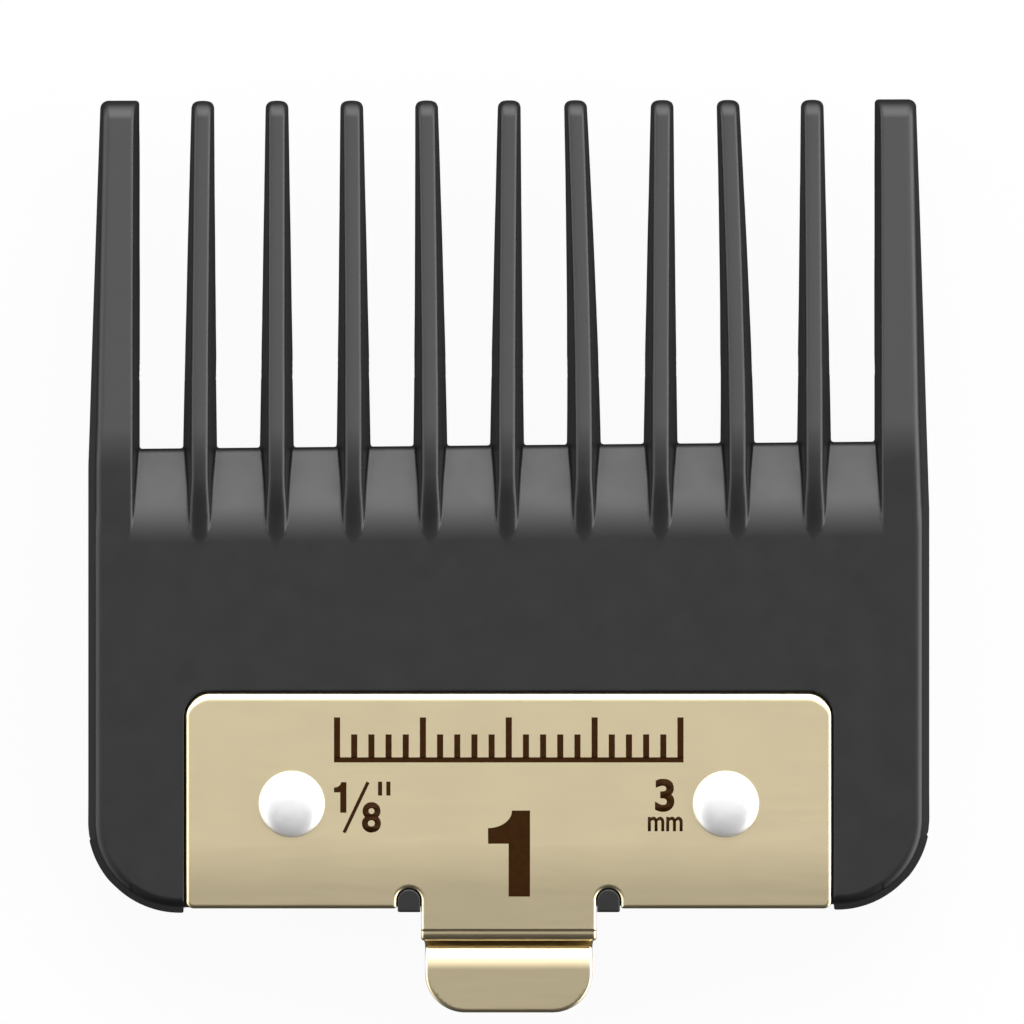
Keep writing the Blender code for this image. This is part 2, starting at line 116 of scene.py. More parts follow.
def round_and(a, b, r):
    """Both shapes at once, the edge where they meet rounded to radius r. Negative is inside."""
    return np.minimum(-r, np.maximum(a, b)) + np.hypot(np.maximum(r + a, 0), np.maximum(r + b, 0))


def round_or(a, b, r):
    """Either shape, with a fillet of radius r where they meet."""
    return np.maximum(r, np.minimum(a, b)) - np.hypot(np.maximum(r - a, 0), np.maximum(r - b, 0))


def ease(t):
    t = np.clip(t, 0, 1)
    return t * t * (3 - 2 * t)


def spaced(*stretches):
    """Grid lines along one axis, from (start, end, step) stretches that follow each other."""
    lines = [np.linspace(a, b, max(1, round((b - a) / step)), endpoint=False) for a, b, step in stretches]
    return np.concatenate([*lines, [stretches[-1][1]]]).astype(np.float32)


def surface_net(field, axes):
    """Vertices and quads of the field's zero surface, found cell by cell on a grid."""
    x, y, z = axes[0][:, None, None], axes[1][None, :, None], axes[2][None, None, :]
    slab = 48
    parts = [np.broadcast_to(field(x[i:i + slab], y, z), (len(x[i:i + slab]), y.size, z.size))
             for i in range(0, x.size, slab)]
    value = np.concatenate(parts).astype(np.float32)
    inside = value < 0

    count = np.zeros(tuple(n - 1 for n in inside.shape), np.int8)
    corners = [(i, j, k) for i in (0, 1) for j in (0, 1) for k in (0, 1)]
    for i, j, k in corners:
        count += inside[i:i + count.shape[0], j:j + count.shape[1], k:k + count.shape[2]]
    cells = np.argwhere((count > 0) & (count < 8))
    ids = np.full(count.shape, -1, np.int32)
    ids[tuple(cells.T)] = np.arange(len(cells), dtype=np.int32)

    total, crossings = np.zeros((len(cells), 3)), np.zeros(len(cells))
    for start in corners:
        for axis in range(3):
            if start[axis]:
                continue
            end = tuple(1 if n == axis else s for n, s in enumerate(start))
            a = value[tuple((cells + start).T)]
            b = value[tuple((cells + end).T)]
            cut = (a < 0) != (b < 0)
            share = np.where(cut, a / np.where(cut, a - b, 1), 0)
            place = cells + np.array(start, float)
            place[:, axis] += share
            total += place * cut[:, None]
            crossings += cut
    places = total / crossings[:, None]
    points = np.stack([np.interp(places[:, i], np.arange(len(axes[i])), axes[i]) for i in range(3)], 1)

    quads = []
    for axis in range(3):
        u, v = (axis + 1) % 3, (axis + 2) % 3
        size = list(inside.shape)
        size[axis] -= 1
        near = inside[tuple(slice(0, n) for n in size)]
        far = inside[tuple(slice(1, None) if n == axis else slice(None) for n in range(3))]
        edge = np.argwhere(near != far)
        edge = edge[(edge[:, u] > 0) & (edge[:, v] > 0)]
        edge = edge[(edge[:, u] < count.shape[u]) & (edge[:, v] < count.shape[v])]
        outward = near[tuple(edge.T)]
        ring = []
        for du, dv in ((-1, -1), (0, -1), (0, 0), (-1, 0)):
            cell = edge.copy()
            cell[:, u] += du
            cell[:, v] += dv
            ring.append(ids[tuple(cell.T)])
        ring = np.stack(ring, 1)
        quads.append(np.where(outward[:, None], ring, ring[:, ::-1]))
    return points, np.concatenate(quads)


def gradient(field, points, reach=0.01):
    slopes = []
    for axis in range(3):
        shift = np.zeros(3)
        shift[axis] = reach
        ahead, behind = (points + shift).T, (points - shift).T
        slopes.append((field(*ahead) - field(*behind)) / (2 * reach))
    return np.stack(slopes, 1)


def settle(field, points, rounds=2):
    """Moves points the last fraction of a step onto the field's surface."""
    for _ in range(rounds):
        slope = gradient(field, points)
        size = np.maximum((slope * slope).sum(1), 0.05)
        move = -(field(*points.T) / size)[:, None] * slope
        points = points + np.clip(move, -0.06, 0.06)
    return points


def make_mesh(name, points, faces):
    mesh = bpy.data.meshes.new(name)
    mesh.vertices.add(len(points))
    mesh.vertices.foreach_set("co", np.asarray(points, np.float32).ravel() * MM)
    count, sides = faces.shape
    mesh.loops.add(count * sides)
    mesh.loops.foreach_set("vertex_index", faces.astype(np.int32).ravel())
    mesh.polygons.add(count)
    mesh.polygons.foreach_set("loop_start", np.arange(count, dtype=np.int32) * sides)
    mesh.update(calc_edges=True)
    mesh.validate()
    return mesh


def add_piece(name, mesh, material):
    piece = bpy.data.objects.new(name, mesh)
    bpy.context.scene.collection.objects.link(piece)
    mesh.materials.clear()
    mesh.materials.append(material)
    return piece


def baked(obj):
    """The object's mesh with its modifiers applied; the object itself is removed."""
    graph = bpy.context.evaluated_depsgraph_get()
    mesh = bpy.data.meshes.new_from_object(obj.evaluated_get(graph))
    bpy.data.objects.remove(obj, do_unlink=True)
    return mesh


def thinned(mesh, share):
    """Fewer triangles where the surface is flat enough not to need them."""
    obj = bpy.data.objects.new("thinning", mesh)
    bpy.context.scene.collection.objects.link(obj)
    thin = obj.modifiers.new("thin", "DECIMATE")
    thin.ratio = share
    return baked(obj)


def coordinates(mesh):
    flat = np.empty(len(mesh.vertices) * 3, np.float32)
    mesh.vertices.foreach_get("co", flat)
    return flat.reshape(-1, 3).astype(float) / MM


# ---------------------------------------------------------------- comb

def wide_crest_z(y):
    """Height of the wide teeth's crest along Y: level with the face, then a straight fall."""
    run = np.maximum(y - CREST_FALL_Y, 0)
    bend = np.minimum(run, CREST_BEND)
    return FACE_Z - CREST_FALL * (bend * bend / (2 * CREST_BEND) + run - bend)


def thin_crest_z(y):
    """Height of the thin teeth's crest, which comes up out of the flat face."""
    sunk = CREST_SINK * np.clip(CREST_START_Y - y, 0, SINK_RUN) ** 2
    return wide_crest_z(y) - sunk + CREST_RISE * ease((y - CREST_START_Y) / (CREST_TOP_Y - CREST_START_Y))


def web_z(y):
    """Height of the flat face, then of the web that curves down between the teeth."""
    arc_end = WEB_R * math.sin(WEB_SLOPE)
    run = np.maximum(y - WEB_TOP_Y, 0)
    on_arc = np.minimum(run, arc_end)
    return FACE_Z - (WEB_R - np.sqrt(WEB_R**2 - on_arc**2)) - math.tan(WEB_SLOPE) * (run - on_arc)


def underside_z(y):
    """Underside of the teeth: the blade seat, a ramp that stops the blade, then up to the tip."""
    ramp = np.clip((y - STOP_Y) / STOP_RUN, 0, 1)
    beyond = np.clip((y - STOP_Y) / (TIP_Y - STOP_Y), 0, 1)
    foot = TOOTH_BOTTOM_Z + (TIP_BOTTOM_Z - TOOTH_BOTTOM_Z) * beyond
    return (SEAT_Z + SEAT_GAP) * (1 - ramp) + foot * ramp


def wall_z(y):
    """Lower edge of the side walls."""
    share = np.clip((y - WALL_REAR_Y) / WALL_ROUND, 0, 1)
    rear = (SEAT_Z + WALL_GAP) * (1 - np.sqrt(share * (2 - share)))
    front = TOOTH_BOTTOM_Z * np.clip((y - WALL_FRONT_Y) / WALL_SLOPE, 0, 1)
    return np.maximum(rear, front)


def outline(x, y):
    """Plan outline at the rim: straight sides that taper towards the tips, and round rear corners."""
    start, tip_x = np.where(x < 0, *TAPER_Y), np.where(x < 0, *OUTER_TIP_X)
    taper = (HALF_WIDTH - tip_x) * np.clip((y - start) / (TIP_Y - start), 0, 1)
    return round_and(np.abs(x) - HALF_WIDTH + taper, REAR_Y - y, CORNER_R)


def lean_in(y, z):
    """How far the outer walls have leaned in at height z from their rim."""
    low = wall_z(y)
    high = wide_crest_z(y)
    along = np.clip((y - WALL_FRONT_Y) / (TIP_Y - WALL_FRONT_Y), 0, 1)
    return (DRAFT + (TIP_DRAFT - DRAFT) * along) * (z - low) / (high - low)


def thin_teeth(x, y, z):
    """The nine thin teeth: drafted bars with a crowned crest and a rounded nose."""
    crest = thin_crest_z(y)
    index = np.clip(np.round(x / TOOTH_PITCH), -MIDDLE_TOOTH, MIDDLE_TOOTH)
    share = np.clip((y - WEB_END_Y) / (TIP_Y - WEB_END_Y), 0, 1)
    lean = TIP_SET[(index + MIDDLE_TOOTH).astype(int)] * share**1.5
    across = np.abs(x - index * TOOTH_PITCH - lean)
    crest_half = HALF_CREST + ROOT_FLARE * ease((CREST_FALL_Y - FLARE_GAP - y) / FLARE_RUN)
    foot_half = HALF_ROOT + (HALF_TIP - HALF_ROOT) * share
    depth = (crest - z) / (crest - underside_z(y))
    side = across - crest_half - (foot_half - crest_half) * depth
    crowned_to = 1.2  # past the tooth's edge, where the crown no longer matters
    top = z - crest + CROWN * np.minimum(across, crowned_to) ** 2
    tooth = round_and(top, y - TIP_Y, NOSE_R)
    tooth = round_and(tooth, underside_z(y) - z, TOOTH_FOOT_R)
    plan = round_and(side, y - TIP_Y - NOSE_GAP, NOSE_PLAN_R)
    return round_and(tooth, plan, THIN_EDGE_R)


def wide_teeth(x, y, z):
    """The inner side, crest and nose of the two wide teeth. The plan outline closes their outer side."""
    crest = wide_crest_z(y)
    depth = (crest - z) / (crest - underside_z(y))
    inner = OUTER_CREST_X + (OUTER_FOOT_X - OUTER_CREST_X) * depth - np.abs(x)
    tooth = round_and(z - crest, y - TIP_Y, WIDE_NOSE_R)
    tooth = round_and(tooth, np.minimum(underside_z(y), wall_z(y)) - z, TOOTH_FOOT_R)
    return round_and(tooth, inner, WIDE_EDGE_R)


def disc(x, y, centre_x, centre_y, radius):
    """A round at centre_x and its mirror image."""
    return np.hypot(np.abs(x) - centre_x, y - centre_y) - radius


def comb_field(x, clip_y, z):
    """The whole comb. The moulding's own Y is skewed a hair against the clip's."""
    y = clip_y - x * np.interp(clip_y, SKEW_Y, SKEW)
    tooth_x = x - TEETH_SHIFT
    drafted = outline(x, y) + lean_in(y, z)

    sloped_y, evened = 2, 0.92  # brings the sloped web's field back to about one unit per millimetre
    web = (z - web_z(y)) * np.where(y > sloped_y, evened, 1.0)
    slab = round_and(web, y - WEB_END_Y, WEB_LIP_R)
    fillet = FILLET_START + FILLET_GROWTH * ease((y - FILLET_Y) / FILLET_RUN)
    upper = round_or(slab, wide_teeth(tooth_x, y, z), fillet)

    seat = np.maximum(SEAT_Z - z, y - STOP_Y - STOP_RUN)
    walls = round_and(WALL_X - np.abs(x), wall_z(y) - z, WALL_FOOT_R)
    teeth_floor = np.maximum(underside_z(y) - z, STOP_Y - y)
    under = round_or(np.minimum(seat, teeth_floor), walls, WALL_FOOT_R)
    body = round_and(upper, under, RIM_R)
    body = round_and(body, drafted, SIDE_EDGE_R)
    body = round_or(body, thin_teeth(tooth_x, y, z), fillet)

    rear_step = np.maximum(np.abs(x) - LOBE_X, y - SLAB_REAR_Y)
    body = round_and(body, -rear_step, STEP_R)
    return cut_for_clip(body, x, clip_y, z)


def cut_for_clip(body, x, y, z):
    """The body with the clip's recess, the two lugs in its notches and the rivets' bores."""
    half_w, top, corner = PLATE_HALF_W + RECESS_GAP, PLATE_TOP_Y + RECESS_GAP, PLATE_CORNER_R + RECESS_GAP
    recess = round_and(np.abs(x) - half_w, y - top, corner)
    body = round_and(body, -np.maximum(recess, RECESS_Z - sagged(y)[0] - z), RECESS_EDGE_R)

    lug_half_w, lug_overhang, lug_depth = NOTCH_R - LUG_GAP, 0.2, 0.4
    lug = round_and(np.abs(np.abs(x) - NOTCH_X) - lug_half_w, y - NOTCH_TOP_Y + LUG_GAP, lug_half_w - 0.01)
    lug = np.maximum(lug, PLATE_BOTTOM_Y - lug_overhang - y)
    lug = round_and(lug, z - FACE_Z, LUG_EDGE_R)
    body = np.minimum(body, np.maximum(lug, SEAT_Z + lug_depth - z))

    bore = disc(x, y, RIVET_X, RIVET_Y, RIVET_BORE_R)
    tail = np.maximum(disc(x, y, RIVET_X, RIVET_Y, TAIL_POCKET_R), z - TAIL_POCKET_TOP_Z)
    return round_and(body, -np.minimum(bore, tail), HOLE_EDGE_R)


def build_comb(material):
    """The comb's surface, meshed finely and then thinned, with the field's own normals."""
    step = 0.12
    # A box a little larger than the comb
    across, along, upward = (-25.2, 25.2), (-21.6, 27.3), (-0.35, 9.2)
    axes = [spaced((low, high, step)) for low, high in (across, along, upward)]
    points, quads = surface_net(comb_field, axes)
    mesh = make_mesh("comb_moulding", settle(comb_field, points), quads)
    mesh = thinned(mesh, 0.22)
    mesh.name = "comb_moulding"
    mesh.shade_smooth()
    slope = gradient(comb_field, coordinates(mesh))
    slope /= np.maximum(np.linalg.norm(slope, axis=1), 1e-6)[:, None]
    mesh.normals_split_custom_set_from_vertices(slope.tolist())
    comb = add_piece("comb_moulding", mesh, material)
    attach(comb, "comb")
    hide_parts("comb_body")
    return comb


# ---------------------------------------------------------------- spring clip

def sagged(y):
    """How far the sheet has dropped below its flat part at y, and its slope there in radians."""
    run = np.maximum(SAG_START_Y - np.maximum(y, BEND_Y), 0)
    bent = np.minimum(run, SAG_RUN)
    return SAG * bent * (2 * run - bent), 2 * SAG * bent


def bend_moves():
    """The tongue's developed length as (length, turn) stretches, ended level at the tab's edge."""
    quarter = math.pi / 2
    lip_turn = TAB_DROOP - sagged(BEND_Y)[1]
    moves = [
        (BEND_R * (quarter + HOOK_LEAN), quarter + HOOK_LEAN),
        (HOOK_LEG, 0),
        (FOLD_R * math.pi, -math.pi),
        (RETURN_LEG, 0),
        (SHOULDER_R * (quarter - HOOK_LEAN - LIP_SLOPE), quarter - HOOK_LEAN - LIP_SLOPE),
        (LIP_R * (LIP_SLOPE + lip_turn), LIP_SLOPE + lip_turn),
    ]
    y, _, heading = (value[0] for value in walk(moves, np.array([sum(length for length, _ in moves)])))
    moves.append(((TAB_END_Y - y) / math.cos(heading), 0))
    return moves


def walk(moves, distance):
    """Position and heading of the sheet's middle at distances along it, past the first bend line."""
    drop, slope = sagged(BEND_Y)
    y, z, heading = BEND_Y, SHEET_MID_Z - drop, math.pi + slope
    ys = np.full(distance.shape, y)
    zs = np.full(distance.shape, z)
    headings = np.full(distance.shape, heading)
    start = 0.0
    for length, turn in moves:
        along = np.clip(distance - start, 0, length)
        now = distance >= start
        if turn:
            radius = length / turn
            angle = heading + along / radius
            here_y = y + radius * (np.sin(angle) - math.sin(heading))
            here_z = z - radius * (np.cos(angle) - math.cos(heading))
            y += radius * (math.sin(heading + turn) - math.sin(heading))
            z -= radius * (math.cos(heading + turn) - math.cos(heading))
            heading += turn
        else:
            angle = np.full(distance.shape, heading)
            here_y, here_z = y + along * math.cos(heading), z + along * math.sin(heading)
            y += length * math.cos(heading)
            z += length * math.sin(heading)
        ys, zs = np.where(now, here_y, ys), np.where(now, here_z, zs)
        headings = np.where(now, angle, headings)
        start += length
    return ys, zs, headings


MOVES = bend_moves()
DEVELOPED_END = BEND_Y - sum(length for length, _ in MOVES)
FOLD_Y = BEND_Y - MOVES[0][0] - HOOK_LEG


def blank_field(x, v, t):
    """The clip as a flat blank: x across, v along the sheet and t through its thickness."""
    plate = round_and(np.abs(x) - PLATE_HALF_W, v - PLATE_TOP_Y, PLATE_CORNER_R)
    plate = round_and(plate, PLATE_BOTTOM_Y + 0.02 - v, PLATE_FOOT_R)
    notch = round_and(np.abs(np.abs(x) - NOTCH_X) - NOTCH_R, v - NOTCH_TOP_Y, NOTCH_R - 0.01)
    plate = round_and(plate, -notch, NOTCH_EDGE_R)
    half_w = TONGUE_HALF_W + (TAB_HALF_W - TONGUE_HALF_W) * ease((FOLD_Y - v) / HOOK_LEG)
    tongue = round_and(np.abs(x) - half_w, DEVELOPED_END - v, TAB_CORNER_R)
    overlap = 0.3
    tongue = np.maximum(tongue, v - NOTCH_TOP_Y - overlap)
    shape = np.minimum(plate, tongue)
    shape = np.maximum(shape, -disc(x, v, RIVET_X, RIVET_Y, RIVET_BORE_R))
    past = BEND_Y - v
    coined = sum(COIN_DEPTH * ease((past - step) / (2 * COIN_WIDTH) + 0.5) for step in COINED_STEPS)
    coined = coined * (1 - ease((past - COINED_RUN) / COINED_RUN))
    # The punched edge is rolled over wider than it is deep, most of all at the top.
    rolled = ROLLOVER * (1 + ease((v - PLATE_TOP_Y + 1.2) / 0.8))
    sheet = round_and(shape * ROLLOVER_DEPTH, t - SHEET / 2 + coined, rolled)
    return round_and(sheet, -t - SHEET / 2, BURR_R)


def formed(points, normals):
    """The flat blank's points and normals bent along the tongue's path."""
    x, v, t = points.T
    y, z, heading = walk(MOVES, np.maximum(BEND_Y - v, 0))
    drop, slope = sagged(v)
    unbent = v > BEND_Y
    y = np.where(unbent, v, y)
    z = np.where(unbent, SHEET_MID_Z - drop, z)
    heading = np.where(unbent, math.pi + slope, heading)
    up_y, up_z = np.sin(heading), -np.cos(heading)
    placed = np.stack((x, y + t * up_y, z + t * up_z), 1)
    # Along v the sheet runs against its heading.
    turned = np.stack((normals[:, 0],
                       -normals[:, 1] * np.cos(heading) + normals[:, 2] * up_y,
                       -normals[:, 1] * np.sin(heading) + normals[:, 2] * up_z), 1)
    return placed, turned


def blank_grid():
    """Grid lines that are close together at the blank's edges and wider apart on its flat middle."""
    fine, coarse = ((0.07, 0.25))
    past, corner, by_notch = 0.3, 1.6, 0.6  # how far the fine grid reaches past and into the outline
    edge, tongue, notch = PLATE_HALF_W - corner, TONGUE_HALF_W - 0.7, NOTCH_X + NOTCH_R + by_notch
    half = [(tongue, notch, fine), (notch, edge, coarse), (edge, PLATE_HALF_W + past, fine)]
    other_half = [(-b, -a, step) for a, b, step in reversed(half)]
    across = spaced(*other_half, (-tongue, tongue, coarse), *half)
    low, high = NOTCH_TOP_Y + by_notch, PLATE_TOP_Y - corner
    along = spaced((DEVELOPED_END - past, low, fine), (low, high, coarse), (high, PLATE_TOP_Y + past, fine))
    through = spaced((-SHEET / 2 - past / 2, SHEET / 2 + past / 2, 0.05))
    return across, along, through


def build_clip(material):
    """The whole clip as one sheet: meshed flat, bent, and flexed across the joint."""
    points, quads = surface_net(blank_field, blank_grid())
    points = settle(blank_field, points)
    normals = gradient(blank_field, points)
    normals /= np.maximum(np.linalg.norm(normals, axis=1), 1e-6)[:, None]
    placed, turned = formed(points, normals)
    mesh = make_mesh("spring_clip", placed, quads)
    mesh.shade_smooth()
    mesh.normals_split_custom_set_from_vertices(turned.tolist())
    clip = add_piece("spring_clip", mesh, material)
    flex_with_tongue(clip)
    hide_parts("clip_plate", "latch_tongue")
    return clip


def flex_with_tongue(piece):
    """Bends the piece across the joint between the notches. Beside them it stays with the comb."""
    start, end = NOTCH_TOP_Y + 0.3, PLATE_BOTTOM_Y - 0.1
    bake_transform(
        piece, "comb", "latch", start=(0, start * MM, SHEET_MID_Z * MM), end=(0, end * MM, SHEET_MID_Z * MM)
    )
    weights = piece.data.attributes["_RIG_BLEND"]
    value = np.empty(len(piece.data.vertices), np.float32)
    weights.data.foreach_get("value", value)
    beside = np.abs(coordinates(piece.data)[:, 0]) > NOTCH_X
    value[beside] = 0
    weights.data.foreach_set("value", value)


# ---------------------------------------------------------------- etched marks

def add_flat_shape(whole, outline_points):
    """Adds a filled flat outline to the bmesh."""
    face = whole.faces.new([whole.verts.new((x, y, 0)) for x, y in outline_points])
    face.normal_update()


def ribbon(points, width):
    """An outline of even width along a path."""
    path = [Vector(p) for p in points]
    left, right = [], []
    for i, p in enumerate(path):
        before, after = path[max(i - 1, 0)], path[min(i + 1, len(path) - 1)]
        along = (after - before).normalized()
        side = Vector((-along.y, along.x)) * width / 2
        left.append(p + side)
        right.append(p - side)
    return [tuple(p) for p in left + right[::-1]]


def numeral_one(left, low, right, top, flag, stem_share=0.51):
    """A plain upright 1: a stem, and a flag whose top is hollowed out down to the left."""
    stem = left + (right - left) * (1 - stem_share)
    reach, drop, steps = (right - left) * 0.57, flag * 0.53, 10
    angles = [math.pi / 2 * (1 - i / steps) for i in range(steps + 1)]
    sweep = [(left + reach * math.sin(a), top - drop * math.cos(a)) for a in angles]
    return [(right, low), (right, top), *sweep, (left, top - flag), (stem, top - flag), (stem, low)]


def text_mesh(body, left, low, right, top, weight):
    """Plain lettering fitted to a box."""
    curve = bpy.data.curves.new("glyph", "FONT")
    curve.body = body
    curve.size = 1.0
    curve.offset = weight
    curve.resolution_u = 6
    holder = bpy.data.objects.new("glyph", curve)
    bpy.context.scene.collection.objects.link(holder)
    mesh = baked(holder)
    co = coordinates(mesh) * MM
    low_corner, high_corner = co.min(0), co.max(0)
    width, height = high_corner[0] - low_corner[0], high_corner[1] - low_corner[1]
    scale = ((right - left) / width, (top - low) / height)
    mesh.transform(Matrix.Diagonal((*scale, 1, 1)) @ Matrix.Translation((-low_corner[0], -low_corner[1], 0)))
    mesh.transform(Matrix.Translation((left, low, 0)))
    return mesh


def build_marks(material):
    """Etched size marks and a plain graduated scale, as a skin a few microns thick on the plate."""
    whole = bmesh.new()
    outlines = [
        numeral_one(-1.22, -20.04, 1.25, -14.98, 1.95),
        numeral_one(-10.28, -15.11, -9.55, -13.31, 0.6, 0.5),
        ribbon([(-9.69, -16.28), (-8.28, -13.31)], 0.2),
        ribbon([(-7.57, -14.1), (-7.57, -13.28)], 0.24),
        ribbon([(-7.08, -14.1), (-7.08, -13.28)], 0.24),
    ]
    scale_foot, scale_half, ticks = -12.0, 10.1, 21
    past_ends, tick_w, foot_w = 0.18, 0.36, 0.3
    foot_end = scale_half + past_ends
    outlines.append(ribbon([(-foot_end, scale_foot), (foot_end, scale_foot)], foot_w))
    for i in range(ticks):
        x = scale_half * (2 * i / (ticks - 1) - 1)
        height = 2.5 if i % 5 == 0 else 1.5
        outlines.append(ribbon([(x, scale_foot + 0.1), (x, scale_foot + height)], tick_w))
    for points in outlines:
        add_flat_shape(whole, points)
    letters = (
        ("8", -8.64, -16.28, -7.52, -14.48, 0.03),
        ("3", 8.6, -15.06, 9.74, -13.11, 0.035),
        ("mm", 8.18, -16.2, 10.23, -15.34, 0.02),
    )
    for body, left, low, right, top, weight in letters:
        whole.from_mesh(text_mesh(body, left, low, right, top, weight))
    # Cut into strips, so that the marks can follow the plate where it curves and flexes.
    strip = 0.4
    for y in np.arange(SAG_START_Y, PLATE_BOTTOM_Y, -strip):
        everything = [*whole.verts, *whole.edges, *whole.faces]
        bmesh.ops.bisect_plane(whole, geom=everything, plane_co=(0, y, 0), plane_no=(0, 1, 0))
    for vertex in whole.verts:
        vertex.co.z -= sagged(vertex.co.y)[0]
    bmesh.ops.triangulate(whole, faces=whole.faces)
    whole.normal_update()
    bmesh.ops.reverse_faces(whole, faces=[face for face in whole.faces if face.normal.z < 0])
    mesh = bpy.data.meshes.new("size_marks")
    whole.to_mesh(mesh)
    whole.free()
    skin_depth, skin_height = 0.004, 0.012
    mesh.transform(Matrix.Translation((0, 0, (SHEET_TOP_Z - skin_depth) * MM)) @ Matrix.Scale(MM, 4))
    marks = add_piece("size_marks", mesh, material)
    skin = marks.modifiers.new("skin", "SOLIDIFY")
    skin.thickness = skin_height * MM
    skin.offset = 1
    marks_mesh = baked(marks)
    marks = add_piece("size_marks", marks_mesh, material)
    flex_with_tongue(marks)
    return marks


# ---------------------------------------------------------------- rivets

def build_rivet(name, x, material):
    """Full domed head, shank and curled hollow tail, turned from one profile."""
    base = SHEET_TOP_Z + 0.01
    head_r, head_h, fullness, dome_steps = 1.95, 0.7, 2.4, 24
    shank_r, curl_middle_r, curl_r, curl_steps = 1.1, 1.25, 0.4, 6
    profile = []
    for i in range(dome_steps + 1):
        angle = math.radians(90 * i / dome_steps)
        r, h = math.sin(angle) ** (2 / fullness), math.cos(angle) ** (2 / fullness)
        profile.append((head_r * r, base + head_h * h))
    profile[-1] = (head_r, base)
    tail_top = TAIL_POCKET_TOP_Z - 0.05
    curl_z = tail_top - 0.45
    profile += [(shank_r, base), (shank_r, tail_top)]
    for i in range(curl_steps + 1):
        angle = math.radians(90 - 180 * i / curl_steps)
        profile.append((curl_middle_r + curl_r * math.cos(angle), curl_z + curl_r * math.sin(angle)))
    hollow_r, hollow_top = 0.7, tail_top + 0.8
    profile += [(0.8, tail_top - 0.7), (hollow_r, tail_top - 0.4)]
    profile += [(hollow_r, hollow_top), (0.0, tail_top + 1.1)]
    mesh = bpy.data.meshes.new(name)
    points = [(r * MM, 0, z * MM) for r, z in profile]
    mesh.from_pydata(points, [(i, i + 1) for i in range(len(points) - 1)], [])
    turned = bpy.data.objects.new(name, mesh)
    bpy.context.scene.collection.objects.link(turned)
    screw = turned.modifiers.new("turn", "SCREW")
    screw.steps = screw.render_steps = 96
    screw.use_merge_vertices = True
    screw.merge_threshold = 0.000005
    solid = baked(turned)
    solid.transform(Matrix.Translation((x * MM, RIVET_Y * MM, 0)))
    shape = bmesh.new()
    shape.from_mesh(solid)
    bmesh.ops.recalc_face_normals(shape, faces=shape.faces)
    shape.to_mesh(solid)
    shape.free()
    solid.shade_smooth()
    solid.set_sharp_from_angle(angle=math.radians(50))
    rivet = add_piece(name, solid, material)
    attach(rivet, "comb")
    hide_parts("rivet_left" if x < 0 else "rivet_right")
    return rivet


# ---------------------------------------------------------------- materials

class Nodes:
    """A short way to write a material's node tree, with its texture space in millimetres."""

    def __init__(self, name):
        self.material = bpy.data.materials.new(name)
        self.material.use_nodes = True
        self.tree = self.material.node_tree
        self.shader = self.tree.nodes["Principled BSDF"]
        place = self.tree.nodes.new("ShaderNodeTexCoord")
        scale = self.tree.nodes.new("ShaderNodeMapping")
        scale.inputs["Scale"].default_value = (1000, 1000, 1000)
        self.tree.links.new(place.outputs["Object"], scale.inputs["Vector"])
        self.place = scale.outputs["Vector"]

    def noise(self, scale, detail=2.0, stretch=None):
        source = self.place
        if stretch:
            squeeze = self.tree.nodes.new("ShaderNodeMapping")
            squeeze.inputs["Scale"].default_value = stretch
            self.tree.links.new(source, squeeze.inputs["Vector"])
            source = squeeze.outputs["Vector"]
        texture = self.tree.nodes.new("ShaderNodeTexNoise")
        texture.inputs["Scale"].default_value = scale
        texture.inputs["Detail"].default_value = detail
        self.tree.links.new(source, texture.inputs["Vector"])
        return texture.outputs["Fac"]

    def spread(self, value, low, high, start=0.3, end=0.7):
        node = self.tree.nodes.new("ShaderNodeMapRange")
        for name, number in (("From Min", start), ("From Max", end), ("To Min", low), ("To Max", high)):
            node.inputs[name].default_value = number
        self.tree.links.new(value, node.inputs["Value"])
        return node.outputs["Result"]

    def colours(self, value, *stops):
        ramp = self.tree.nodes.new("ShaderNodeValToRGB")
        elements = ramp.color_ramp.elements
        while len(elements) < len(stops):
            elements.new(0.5)
        for element, (position, colour) in zip(elements, stops):
            element.position = position
            element.color = (*colour, 1)
        self.tree.links.new(value, ramp.inputs["Fac"])
        return ramp.outputs["Color"]

    def bump(self, value, depth_mm, strength=1.0, under=None):
        node = self.tree.nodes.new("ShaderNodeBump")
        node.inputs["Strength"].default_value = strength
        node.inputs["Distance"].default_value = depth_mm * MM
        self.tree.links.new(value, node.inputs["Height"])
        if under:
            self.tree.links.new(under, node.inputs["Normal"])
        return node.outputs["Normal"]

    def link(self, value, socket):
        self.tree.links.new(value, self.shader.inputs[socket])

    def set(self, **values):
        for name, number in values.items():
            self.shader.inputs[name.replace("_", " ")].default_value = number


def comb_plastic():
    """Dark grey nylon with a very fine spark-eroded grain and faint rubbing."""
    n = Nodes("comb_plastic_dark_grey")
    n.set(Metallic=0.0, Specular_IOR_Level=0.53)
    cool, warm = (0.0040, 0.0040, 0.0042), (0.0052, 0.0051, 0.0050)
    n.link(n.colours(n.noise(0.35, 3), (0.3, cool), (0.7, warm)), "Base Color")
    n.link(n.spread(n.noise(0.6, 4), 0.38, 0.43), "Roughness")
    grain = n.bump(n.noise(9.0, 3), 0.004, 0.6)
    rub = n.bump(n.noise(0.9, 2, (6, 0.7, 1)), 0.003, 0.35, grain)
    n.link(rub, "Normal")
    return n.material


